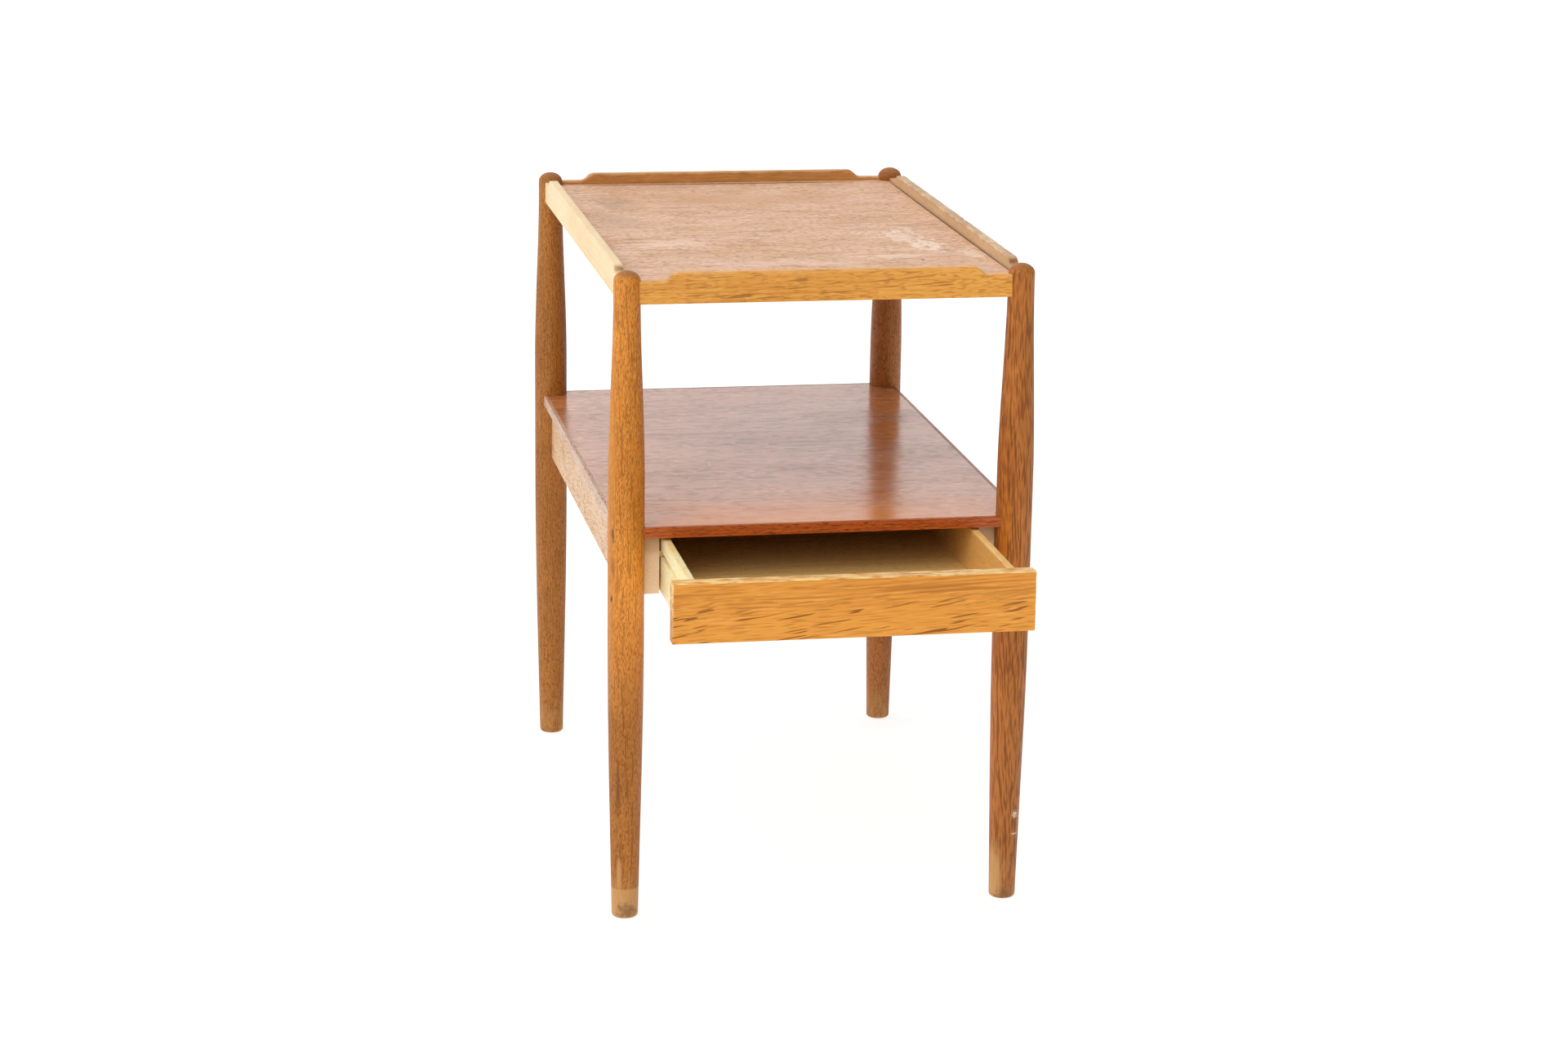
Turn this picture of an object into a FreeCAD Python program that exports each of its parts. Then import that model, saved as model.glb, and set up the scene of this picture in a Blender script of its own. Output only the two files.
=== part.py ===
import FreeCAD, Part
import math
import os
from FreeCAD import Vector

# A small rectangular side table on four turned legs, in millimetres.
# A shallow tray with raised rails stands between the leg tops, a thin shelf
# goes round the legs at about two thirds of the height, and under the shelf a
# drawer slides on two hardwood tongues.  The table faces -Y, +X is to its
# right, +Z is up.  The drawer stands partly open at rest, and the origin is on
# the floor under the middle of the whole box.

# ---- overall sizes ----
table_height = 600.0
leg_axis_x = 178.0
leg_axis_y = 276.0

# ---- legs ----
leg_belly_radius = 16.5
leg_top_radius = 12.0
leg_foot_radius = 12.2
leg_foot_slope = 0.0185
leg_foot_rounding = 3.0
leg_dome_height = 9.0
belly_below_shelf = 98.0
belly_above_shelf = 37.0
neck_below_top = 15.0

# ---- tray ----
rail_face_offset = 6.5
rail_lip_width = 9.0
rail_ledge_width = 5.2
rail_ledge_height = 9.0
rail_bottom_below_top = 29.5
rail_low_height = 20.5
rail_swell_rise = 7.2
swell_start = 30.0
swell_length = 16.0
rail_edge_rounding = 1.4
rail_end_from_axis = 8.0
tenon_length = 5.0
tenon_thickness = 8.0
tenon_outward_offset = 2.0
tenon_shoulder = 3.5
panel_joint_gap = 0.8
panel_core_thickness = 6.6
veneer_thickness = 0.7

# ---- shelf ----
shelf_top_height = 368.5
shelf_thickness = 10.0
shelf_edge_offset_x = 8.8
shelf_edge_offset_y = 8.5
lipping_width = 4.0
lipping_rounding = 0.8
leg_notch_gap = 0.15

# ---- aprons under the shelf ----
apron_height = 55.0
side_apron_thickness = 17.0
apron_face_offset = 1.0
side_apron_end_from_axis = 13.5
rear_apron_thickness = 14.0
rear_tenon_dowel_wall = 2.0
rear_tenon_length = 9.0
dowel_radius = 4.0
dowel_fit = 0.1
dowel_end_from_axis = 5.0
dowel_depth_in_apron = 18.0
dowel_inset = 14.0

# ---- drawer runners ----
runner_board_thickness = 15.0
runner_front_clearance = 0.5
runner_rear_gap = 0.5
tongue_height = 5.2
tongue_reach = 5.3
tongue_seat = 3.0
tongue_front_inset = 1.0
tongue_rear_inset = 12.0
screw_shank_radius = 2.0
screw_head_radius = 4.0
screw_head_height = 2.4
screw_length = 24.0
screw_hole_fit = 0.1
screw_slot_width = 0.9
screw_slot_depth = 1.0
screw_count = 4
screw_end_inset = 45.0
screw_height_share = 0.30

# ---- glue blocks behind the drawer ----
block_length = 42.0
block_width = 16.0
block_spacing = 110.0
block_count = 3
block_chamfer = 3.0

# ---- drawer ----
drawer_open_at_rest = 145.5
drawer_length = 505.0
drawer_front_thickness = 14.0
drawer_front_height = 53.8
drawer_front_top_gap = 1.5
drawer_front_leg_gap = 1.5
drawer_front_rounding = 1.5
drawer_side_gap = 1.6
drawer_side_thickness = 7.5
drawer_side_height = 51.6
drawer_side_lift = 1.2
drawer_side_top_rounding = 1.5
side_housing_depth = 6.0
tongue_running_gap = 0.4
tongue_below_side_top = 12.6
drawer_back_thickness = 9.0
drawer_back_inset = 14.0
back_housing_depth = 3.0
drawer_back_drop = 4.0
drawer_bottom_thickness = 4.0
bottom_groove_depth = 4.0
bottom_above_side_edge = 6.0
bottom_rear_overhang = 6.0
tack_radius = 0.9
tack_head_radius = 2.2
tack_head_height = 0.6
tack_length = 14.0
tack_fit = 0.05
tack_count = 5
tack_end_inset = 28.0

# the pull of a smooth edge's two middle points that makes it a quarter ellipse
ellipse_pull = 4 * (math.sqrt(2) - 1) / 3

# ---- heights worked out from the sizes above ----
rail_bottom_z = table_height - rail_bottom_below_top
rail_low_z = rail_bottom_z + rail_low_height
rail_high_z = rail_low_z + rail_swell_rise
ledge_top_z = rail_bottom_z + rail_ledge_height
tray_core_bottom_z = ledge_top_z + veneer_thickness
tray_core_top_z = tray_core_bottom_z + panel_core_thickness
shelf_bottom_z = shelf_top_height - shelf_thickness
apron_bottom_z = shelf_bottom_z - apron_height
belly_low_z = shelf_top_height - belly_below_shelf
belly_high_z = shelf_top_height + belly_above_shelf

# ---- places worked out in plan, from the middle of the table ----
shelf_half_x = leg_axis_x + shelf_edge_offset_x
shelf_half_y = leg_axis_y + shelf_edge_offset_y
apron_outer_x = leg_axis_x + apron_face_offset
apron_inner_x = apron_outer_x - side_apron_thickness
board_inner_x = apron_inner_x - runner_board_thickness
rear_apron_outer_y = leg_axis_y + apron_face_offset
rear_apron_inner_y = rear_apron_outer_y - rear_apron_thickness
drawer_side_outer_x = board_inner_x - drawer_side_gap
drawer_side_inner_x = drawer_side_outer_x - drawer_side_thickness
front_half_x = leg_axis_x - leg_belly_radius - drawer_front_leg_gap

# ---- the drawer, closed: its front stands flush with the shelf's front edge ----
closed_front_y = -shelf_half_y
front_back_y = closed_front_y + drawer_front_thickness
drawer_rear_y = closed_front_y + drawer_length
drawer_back_rear_y = drawer_rear_y - drawer_back_inset
drawer_back_front_y = drawer_back_rear_y - drawer_back_thickness
board_front_y = front_back_y + runner_front_clearance
board_rear_y = rear_apron_inner_y - runner_rear_gap
front_top_z = shelf_bottom_z - drawer_front_top_gap
front_bottom_z = front_top_z - drawer_front_height
side_bottom_z = front_bottom_z + drawer_side_lift
side_top_z = side_bottom_z + drawer_side_height
groove_top_z = side_top_z - tongue_below_side_top
tongue_top_z = groove_top_z - tongue_running_gap
tongue_bottom_z = tongue_top_z - tongue_height
groove_bottom_z = tongue_bottom_z - tongue_running_gap
groove_floor_x = board_inner_x - tongue_reach - tongue_running_gap
bottom_low_z = side_bottom_z + bottom_above_side_edge
bottom_high_z = bottom_low_z + drawer_bottom_thickness

# ---- the origin: under the middle of the box, with the drawer partly open ----
front_reach_y = -closed_front_y + drawer_open_at_rest
back_reach_y = leg_axis_y + leg_belly_radius
origin_shift_y = (front_reach_y - back_reach_y) / 2


def block(low, high):
    """A straight-sided block between two corners."""
    low = Vector(*low)
    size = Vector(*high) - low
    return Part.makeBox(size.x, size.y, size.z, low)


def rod(radius, start, end):
    """A round rod between two points."""
    start = Vector(*start)
    along = Vector(*end) - start
    return Part.makeCylinder(radius, along.Length, start, along)


def bezier(*points):
    """One smooth edge from its control points."""
    curve = Part.BezierCurve()
    curve.setPoles([Vector(*point) for point in points])
    return curve.toShape()


def line(start, end):
    """One straight edge."""
    return Part.LineSegment(Vector(*start), Vector(*end)).toShape()


def arc(start, middle, end):
    """One round edge through three points."""
    return Part.Arc(Vector(*start), Vector(*middle), Vector(*end)).toShape()


def soften(shape, radius, wanted):
    """Round every edge that the test picks."""
    edges = [edge for edge in shape.Edges if wanted(edge)]
    return shape.makeFillet(radius, edges)


def joined(first, *others):
    """One solid out of pieces of the same timber."""
    return first.multiFuse(list(others)).removeSplitter()


# ---- legs: turned, straight in the middle and drawn in to both ends ----
corners = {
    "front_left": (-1, -1),
    "front_right": (1, -1),
    "back_left": (-1, 1),
    "back_right": (1, 1),
}


def foot_edges():
    """The flat underside and the rounded rim of the foot."""
    flat_radius = leg_foot_radius - leg_foot_rounding
    bulge = leg_foot_rounding * (1 - math.sqrt(0.5))
    rim_middle = (leg_foot_radius - bulge, 0, bulge)
    rim_end = (leg_foot_radius, 0, leg_foot_rounding)
    flat = line((0, 0, 0), (flat_radius, 0, 0))
    rim = arc((flat_radius, 0, 0), rim_middle, rim_end)
    return [flat, rim]


def flank_edges():
    """The lower taper, the straight belly and the upper taper."""
    lower_third = (belly_low_z - leg_foot_rounding) / 3
    upper_third = (table_height - neck_below_top - belly_high_z) / 3
    neck_z = table_height - neck_below_top
    waist_radius = leg_foot_radius + leg_foot_slope * lower_third
    lower = bezier(
        (leg_foot_radius, 0, leg_foot_rounding),
        (waist_radius, 0, leg_foot_rounding + lower_third),
        (leg_belly_radius, 0, belly_low_z - lower_third),
        (leg_belly_radius, 0, belly_low_z),
    )
    belly = line((leg_belly_radius, 0, belly_low_z), (leg_belly_radius, 0, belly_high_z))
    upper = bezier(
        (leg_belly_radius, 0, belly_high_z),
        (leg_belly_radius, 0, belly_high_z + upper_third),
        (leg_top_radius, 0, neck_z - upper_third),
        (leg_top_radius, 0, neck_z),
    )
    return [lower, belly, upper]


def dome_edges():
    """The short neck and the flattened dome of the top, close to a quarter ellipse."""
    neck_z = table_height - neck_below_top
    dome_z = table_height - leg_dome_height
    neck = line((leg_top_radius, 0, neck_z), (leg_top_radius, 0, dome_z))
    dome = bezier(
        (leg_top_radius, 0, dome_z),
        (leg_top_radius, 0, dome_z + leg_dome_height * ellipse_pull),
        (leg_top_radius * ellipse_pull, 0, table_height),
        (0, 0, table_height),
    )
    return [neck, dome]


def turned_leg():
    """The whole turning, on the Z axis."""
    spine = line((0, 0, table_height), (0, 0, 0))
    outline = Part.Wire(foot_edges() + flank_edges() + dome_edges() + [spine])
    return Part.Face(outline).revolve(Vector(0, 0, 0), Vector(0, 0, 1), 360)


def leg_place(corner):
    """The axis of one leg, on the floor."""
    across, along = corners[corner]
    return Vector(across * leg_axis_x, along * leg_axis_y, 0)


def leg_notches(low_z, high_z):
    """Round cutters that let a board pass the four legs."""
    radius = leg_belly_radius + leg_notch_gap
    height = high_z - low_z
    cutters = []
    for corner in corners:
        foot = leg_place(corner) + Vector(0, 0, low_z)
        cutters.append(Part.makeCylinder(radius, height, foot))
    return Part.makeCompound(cutters)


# ---- tray rails: low beside the legs, with an ogee up to the raised middle ----
def ogee(x_low, x_high, z_low, z_high):
    """Two tangent arcs, level at both ends."""
    x_mid = (x_low + x_high) / 2
    z_mid = (z_low + z_high) / 2
    run = abs(x_high - x_low) / 2
    rise = (z_high - z_low) / 2
    radius = (run ** 2 + rise ** 2) / (2 * rise)
    half_turn = math.asin(run / radius) / 2
    toward = math.copysign(1, x_high - x_low)
    step_x = radius * math.sin(half_turn)
    step_z = radius * (1 - math.cos(half_turn))
    low_arc = arc(
        (x_low, 0, z_low),
        (x_low + toward * step_x, 0, z_low + step_z),
        (x_mid, 0, z_mid),
    )
    high_arc = arc(
        (x_mid, 0, z_mid),
        (x_high - toward * step_x, 0, z_high - step_z),
        (x_high, 0, z_high),
    )
    return [low_arc, high_arc]


def rail_outline(half_span):
    """The front view of a rail between two leg axes."""
    end_x = half_span - rail_end_from_axis
    low_x = half_span - swell_start
    high_x = low_x - swell_length
    right = ogee(low_x, high_x, rail_low_z, rail_high_z)
    left = ogee(-low_x, -high_x, rail_low_z, rail_high_z)
    edges = [
        line((-end_x, 0, rail_bottom_z), (end_x, 0, rail_bottom_z)),
        line((end_x, 0, rail_bottom_z), (end_x, 0, rail_low_z)),
        line((end_x, 0, rail_low_z), (low_x, 0, rail_low_z)),
        line((high_x, 0, rail_high_z), (-high_x, 0, rail_high_z)),
        line((-low_x, 0, rail_low_z), (-end_x, 0, rail_low_z)),
        line((-end_x, 0, rail_low_z), (-end_x, 0, rail_bottom_z)),
    ]
    return Part.Wire(Part.__sortEdges__(edges + left + right))


def rail_lip(half_span):
    """The upright part of a rail, with its upper edges softened."""
    outline = rail_outline(half_span)
    outline.translate(Vector(0, -rail_face_offset, 0))
    lip = Part.Face(outline).extrude(Vector(0, rail_lip_width, 0))
    end_x = half_span - rail_end_from_axis

    def along_top(edge):
        box = edge.BoundBox
        is_end = abs(abs(edge.CenterOfMass.x) - end_x) < tenon_shoulder / 10
        is_across = box.YLength > rail_lip_width / 2
        return box.ZMin > rail_low_z - rail_edge_rounding and not is_end and not is_across

    return soften(lip, rail_edge_rounding, along_top)


def tray_rail(half_span):
    """A rail along X whose outer face looks to -Y: lip, ledge and end tenons."""
    end_x = half_span - rail_end_from_axis
    lip_back_y = rail_lip_width - rail_face_offset
    ledge_y = lip_back_y + rail_ledge_width
    ledge = block((-end_x, lip_back_y, rail_bottom_z), (end_x, ledge_y, ledge_top_z))
    return joined(rail_lip(half_span), ledge, *rail_tenons(end_x))


def rail_tenons(end_x):
    """The stub tenons on the two ends of a rail."""
    low_y = -tenon_thickness / 2 - tenon_outward_offset
    high_y = low_y + tenon_thickness
    low_z = rail_bottom_z + tenon_shoulder
    high_z = rail_low_z - tenon_shoulder
    tenons = []
    for side in (-1, 1):
        near_x, far_x = sorted((side * end_x, side * (end_x + tenon_length)))
        tenons.append(block((near_x, low_y, low_z), (far_x, high_y, high_z)))
    return tenons


def turned_to(shape, degrees, distance):
    """Swing a front piece round to another side of the table."""
    copy = shape.copy()
    copy.translate(Vector(0, -distance, 0))
    copy.rotate(Vector(0, 0, 0), Vector(0, 0, 1), degrees)
    return copy


def all_tray_rails():
    """The four rails in their places."""
    long_rail = tray_rail(leg_axis_y)
    short_rail = tray_rail(leg_axis_x)
    return {
        "tray_rail_front": turned_to(short_rail, 0, leg_axis_y),
        "tray_rail_back": turned_to(short_rail, 180, leg_axis_y),
        "tray_rail_right": turned_to(long_rail, 90, leg_axis_x),
        "tray_rail_left": turned_to(long_rail, -90, leg_axis_x),
    }


# ---- tray panel: a core faced on both sides, let in between the rails ----
def panel_layer(low_z, high_z):
    """One layer of the tray panel, notched round the leg tops."""
    lip_inner = rail_lip_width - rail_face_offset + panel_joint_gap
    half_x = leg_axis_x - lip_inner
    half_y = leg_axis_y - lip_inner
    layer = block((-half_x, -half_y, low_z), (half_x, half_y, high_z))
    radius = leg_top_radius + panel_joint_gap + tray_notch_ease()
    for corner in corners:
        foot = leg_place(corner) + Vector(0, 0, low_z)
        layer = layer.cut(Part.makeCylinder(radius, high_z - low_z, foot))
    return layer


def tray_notch_ease():
    """How much fatter the leg is at the panel's underside than at its neck."""
    taper_length = table_height - neck_below_top - belly_high_z
    down = max(0.0, table_height - neck_below_top - ledge_top_z)
    share = down / taper_length
    smooth = 3 * share ** 2 - 2 * share ** 3
    return (leg_belly_radius - leg_top_radius) * smooth


def tray_panel():
    """Core, face veneer and backing veneer of the tray."""
    face_top_z = tray_core_top_z + veneer_thickness
    return {
        "tray_backing_veneer": panel_layer(ledge_top_z, tray_core_bottom_z),
        "tray_panel_core": panel_layer(tray_core_bottom_z, tray_core_top_z),
        "tray_face_veneer": panel_layer(tray_core_top_z, face_top_z),
    }


# ---- shelf: a veneered core with solid lippings, notched round the legs ----
def shelf_layers():
    """The core and its two veneers, inside the lippings."""
    half_x = shelf_half_x - lipping_width
    half_y = shelf_half_y - lipping_width
    core_low_z = shelf_bottom_z + veneer_thickness
    core_high_z = shelf_top_height - veneer_thickness
    levels = {
        "shelf_backing_veneer": (shelf_bottom_z, core_low_z),
        "shelf_core": (core_low_z, core_high_z),
        "shelf_face_veneer": (core_high_z, shelf_top_height),
    }
    notches = leg_notches(shelf_bottom_z, shelf_top_height)
    layers = {}
    for name, (low_z, high_z) in levels.items():
        layer = block((-half_x, -half_y, low_z), (half_x, half_y, high_z))
        layers[name] = layer.cut(notches)
    return layers


def front_lipping(half_length, distance, end_cut):
    """A lipping along X on the front edge, with its outer edges softened."""
    low = (-half_length + end_cut, -distance, shelf_bottom_z)
    high = (half_length - end_cut, -distance + lipping_width, shelf_top_height)
    strip = block(low, high)

    def outer_edge(edge):
        box = edge.BoundBox
        return box.XLength > half_length and abs(box.YMin + distance) < lipping_rounding / 2

    return soften(strip, lipping_rounding, outer_edge)


def shelf_lippings():
    """The four lippings, cut where they meet the legs."""
    across = front_lipping(shelf_half_x, shelf_half_y, 0)
    along = front_lipping(shelf_half_y, shelf_half_x, lipping_width)
    notches = leg_notches(shelf_bottom_z, shelf_top_height)
    return {
        "shelf_lipping_front": turned_to(across, 0, 0).cut(notches),
        "shelf_lipping_back": turned_to(across, 180, 0).cut(notches),
        "shelf_lipping_right": turned_to(along, 90, 0).cut(notches),
        "shelf_lipping_left": turned_to(along, -90, 0).cut(notches),
    }


# ---- aprons: coped to the legs, the side ones dowelled, the rear one tenoned ----
def side_apron(side):
    """One side apron; side is -1 on the left and 1 on the right."""
    end_y = leg_axis_y - side_apron_end_from_axis
    near_x, far_x = sorted((side * apron_inner_x, side * apron_outer_x))
    blank = block((near_x, -end_y, apron_bottom_z), (far_x, end_y, shelf_bottom_z))
    return blank.cut(leg_notches(apron_bottom_z, shelf_bottom_z))


def dowel_rods(radius, spare):
    """The side aprons' dowels, two at each end, or the holes for them."""
    centre_x = (apron_outer_x + apron_inner_x) / 2
    offset_x = leg_axis_x - centre_x
    surface_y = math.sqrt(leg_belly_radius ** 2 - offset_x ** 2)
    leg_end_y = leg_axis_y - dowel_end_from_axis + spare
    apron_end_y = leg_axis_y - surface_y - dowel_depth_in_apron - spare
    heights = (apron_bottom_z + dowel_inset, shelf_bottom_z - dowel_inset)
    rods = []
    for across, along in corners.values():
        for height in heights:
            start = (across * centre_x, along * apron_end_y, height)
            end = (across * centre_x, along * leg_end_y, height)
            rods.append(rod(radius, start, end))
    return rods


def rear_apron():
    """The rear apron with a stub tenon at each end."""
    half_x = leg_axis_x
    low = (-half_x, rear_apron_inner_y, apron_bottom_z)
    high = (half_x, rear_apron_outer_y, shelf_bottom_z)
    board = block(low, high).cut(leg_notches(apron_bottom_z, shelf_bottom_z))
    middle_y = (rear_apron_inner_y + rear_apron_outer_y) / 2
    middle_z = (apron_bottom_z + shelf_bottom_z) / 2
    offset_y = leg_axis_y - middle_y
    surface_x = math.sqrt(leg_belly_radius ** 2 - offset_y ** 2)
    tenon_x = leg_axis_x - surface_x + rear_tenon_length
    half_thick = tenon_thickness / 2
    clear_of_dowels = dowel_inset + dowel_radius + rear_tenon_dowel_wall
    half_tall = apron_height / 2 - clear_of_dowels
    tenon = block(
        (-tenon_x, middle_y - half_thick, middle_z - half_tall),
        (tenon_x, middle_y + half_thick, middle_z + half_tall),
    )
    return joined(board, tenon)


# ---- runner boards inside the side aprons, each with a hardwood tongue ----
def tongue(side):
    """A straight strip let into its board and standing proud of it."""
    root_x = board_inner_x + tongue_seat
    tip_x = board_inner_x - tongue_reach
    near_x, far_x = sorted((side * root_x, side * tip_x))
    low = (near_x, board_front_y + tongue_front_inset, tongue_bottom_z)
    high = (far_x, board_rear_y - tongue_rear_inset, tongue_top_z)
    return block(low, high)


def runner_board(side, screws):
    """The board that carries a tongue, with its groove and screw holes."""
    near_x, far_x = sorted((side * board_inner_x, side * apron_inner_x))
    low = (near_x, board_front_y, apron_bottom_z)
    high = (far_x, board_rear_y, shelf_bottom_z)
    notches = leg_notches(apron_bottom_z, shelf_bottom_z)
    return block(low, high).cut(tongue(side)).cut(screws).cut(notches)


def screw_places():
    """Where the screws enter the runner boards, as side and Y."""
    first_y = board_front_y + screw_end_inset
    last_y = board_rear_y - screw_end_inset
    step = (last_y - first_y) / (screw_count - 1)
    return [(side, first_y + step * turn) for side in (-1, 1) for turn in range(screw_count)]


def screw_shape(side, y, fit):
    """A countersunk screw, or with a fit the hole for it."""
    height = apron_bottom_z + apron_height * screw_height_share
    face = Vector(side * board_inner_x, y, height)
    outward = Vector(side, 0, 0)
    tip = face + outward * (screw_length + fit)
    shank = rod(screw_shank_radius + fit, tuple(face), tuple(tip))
    head = Part.makeCone(
        screw_head_radius + fit,
        screw_shank_radius + fit,
        screw_head_height,
        face,
        outward,
    )
    return shank.fuse(head).removeSplitter()


def slotted_screw(side, y):
    """The screw itself, with a slot across its head."""
    screw = screw_shape(side, y, 0)
    height = apron_bottom_z + apron_height * screw_height_share
    face_x = side * board_inner_x
    floor_x = face_x + side * screw_slot_depth
    near_x, far_x = sorted((face_x, floor_x))
    half_width = screw_slot_width / 2
    slot = block(
        (near_x, y - screw_head_radius, height - half_width),
        (far_x, y + screw_head_radius, height + half_width),
    )
    return screw.cut(slot)


# ---- glue blocks in the corner of the rear apron and the shelf ----
def glue_blocks():
    """Small blocks with their free edge taken off."""
    blocks = []
    front_y = rear_apron_inner_y - block_width
    low_z = shelf_bottom_z - block_width
    for turn in range(block_count):
        middle_x = (turn - (block_count - 1) / 2) * block_spacing
        low = (middle_x - block_length / 2, front_y, low_z)
        high = (middle_x + block_length / 2, rear_apron_inner_y, shelf_bottom_z)
        piece = block(low, high)
        free = [
            edge
            for edge in piece.Edges
            if edge.BoundBox.YMax < front_y + block_chamfer
            and edge.BoundBox.ZMax < low_z + block_chamfer
        ]
        blocks.append(piece.makeChamfer(block_chamfer, free))
    return Part.makeCompound(blocks)


# ---- drawer, modelled closed and then pulled out to its place at rest ----
def bottom_board():
    """The thin bottom, in grooves on three sides and under the back."""
    half_x = drawer_side_inner_x + bottom_groove_depth
    low = (-half_x, front_back_y - bottom_groove_depth, bottom_low_z)
    high = (half_x, drawer_back_rear_y + bottom_rear_overhang, bottom_high_z)
    return block(low, high)


def drawer_side_blank(side):
    """One side of the drawer before its grooves, let into the front."""
    near_x, far_x = sorted((side * drawer_side_inner_x, side * drawer_side_outer_x))
    low = (near_x, front_back_y - side_housing_depth, side_bottom_z)
    high = (far_x, drawer_rear_y, side_top_z)
    blank = block(low, high)

    def upper_edge(edge):
        box = edge.BoundBox
        return box.YLength > drawer_length / 2 and box.ZMin > side_top_z - drawer_side_top_rounding

    return soften(blank, drawer_side_top_rounding, upper_edge)


def drawer_side(side, back, bottom):
    """A side with the runner groove, the housing for the back and the bottom's groove."""
    near_x, far_x = sorted((side * groove_floor_x, side * drawer_side_outer_x))
    low = (near_x, front_back_y, groove_bottom_z)
    high = (far_x, drawer_rear_y, groove_top_z)
    runner_groove = block(low, high)
    groove_x = drawer_side_inner_x + bottom_groove_depth
    near_x, far_x = sorted((side * drawer_side_inner_x, side * groove_x))
    low = (near_x, front_back_y, bottom_low_z)
    high = (far_x, drawer_rear_y, bottom_high_z)
    bottom_groove = block(low, high)
    blank = drawer_side_blank(side)
    return blank.cut(runner_groove).cut(bottom_groove).cut(back).cut(bottom)


def drawer_back(tacks):
    """The back, standing on the bottom and housed in the sides."""
    half_x = drawer_side_inner_x + back_housing_depth
    low = (-half_x, drawer_back_front_y, bottom_high_z)
    high = (half_x, drawer_back_rear_y, side_top_z - drawer_back_drop)
    return block(low, high).cut(tacks)


def drawer_front(sides, bottom):
    """The plain front, softened all round its face, housed for the sides and bottom."""
    low = (-front_half_x, closed_front_y, front_bottom_z)
    high = (front_half_x, front_back_y, front_top_z)
    front = block(low, high)

    def face_edge(edge):
        box = edge.BoundBox
        return box.YMax < closed_front_y + drawer_front_rounding

    front = soften(front, drawer_front_rounding, face_edge)
    for piece in sides:
        front = front.cut(piece)
    return front.cut(bottom)


def tack(x, fit):
    """A small round-headed tack up through the bottom, or the hole for it."""
    y = (drawer_back_front_y + drawer_back_rear_y) / 2
    top_z = bottom_low_z + tack_length + fit
    shank = rod(tack_radius + fit, (x, y, bottom_low_z), (x, y, top_z))
    if fit:
        return shank
    head = rod(tack_head_radius, (x, y, bottom_low_z - tack_head_height), (x, y, bottom_low_z))
    return shank.fuse(head).removeSplitter()


def tack_row(fit):
    """The tacks along the drawer's back."""
    first_x = -drawer_side_inner_x + tack_end_inset
    step = -2 * first_x / (tack_count - 1)
    return Part.makeCompound([tack(first_x + step * turn, fit) for turn in range(tack_count)])


def drawer_pieces():
    """Every piece of the drawer, pulled out to where it rests."""
    bottom = bottom_board()
    holes = tack_row(tack_fit)
    back = drawer_back(holes)
    blanks = [drawer_side_blank(side) for side in (-1, 1)]
    pieces = {
        "drawer_front": drawer_front(blanks, bottom),
        "drawer_side_left": drawer_side(-1, back, bottom),
        "drawer_side_right": drawer_side(1, back, bottom),
        "drawer_back": back,
        "drawer_bottom": bottom.cut(holes),
        "drawer_bottom_tacks": tack_row(0),
    }
    for piece in pieces.values():
        piece.translate(Vector(0, -drawer_open_at_rest, 0))
    return pieces


# ---- the table itself ----
def under_shelf_pieces():
    """Aprons, runners, dowels, screws and glue blocks."""
    screw_holes = Part.makeCompound([screw_shape(*place, screw_hole_fit) for place in screw_places()])
    screws = Part.makeCompound([slotted_screw(*place) for place in screw_places()])
    dowel_holes = Part.makeCompound(dowel_rods(dowel_radius + dowel_fit, dowel_fit))
    return {
        "side_apron_left": side_apron(-1).cut(dowel_holes).cut(screw_holes),
        "side_apron_right": side_apron(1).cut(dowel_holes).cut(screw_holes),
        "rear_apron": rear_apron().cut(dowel_holes),
        "runner_board_left": runner_board(-1, screw_holes),
        "runner_board_right": runner_board(1, screw_holes),
        "runner_tongue_left": tongue(-1),
        "runner_tongue_right": tongue(1),
        "apron_dowels": Part.makeCompound(dowel_rods(dowel_radius, 0)),
        "runner_screws": screws,
        "shelf_glue_blocks": glue_blocks(),
    }


def legs(rails, apron):
    """The four legs, mortised for the rails, the rear apron and the dowels."""
    turning = turned_leg()
    dowel_holes = Part.makeCompound(dowel_rods(dowel_radius + dowel_fit, dowel_fit))
    pieces = {}
    for corner in corners:
        leg = turning.copy()
        leg.translate(leg_place(corner))
        for rail in rails:
            leg = leg.cut(rail)
        pieces["leg_" + corner] = leg.cut(apron).cut(dowel_holes)
    return pieces


def table():
    """Every piece of the table, by name."""
    rails = all_tray_rails()
    under = under_shelf_pieces()
    pieces = legs(rails.values(), under["rear_apron"])
    pieces.update(rails)
    pieces.update(tray_panel())
    pieces.update(shelf_layers())
    pieces.update(shelf_lippings())
    pieces.update(under)
    pieces.update(drawer_pieces())
    return pieces


os.makedirs("parts", exist_ok=True)
for name, shape in table().items():
    shape.translate(Vector(0, origin_shift_y, 0))
    shape.exportStep("parts/" + name + ".step")
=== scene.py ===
import bpy
import numpy as np
from mathutils import Matrix, Vector


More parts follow.
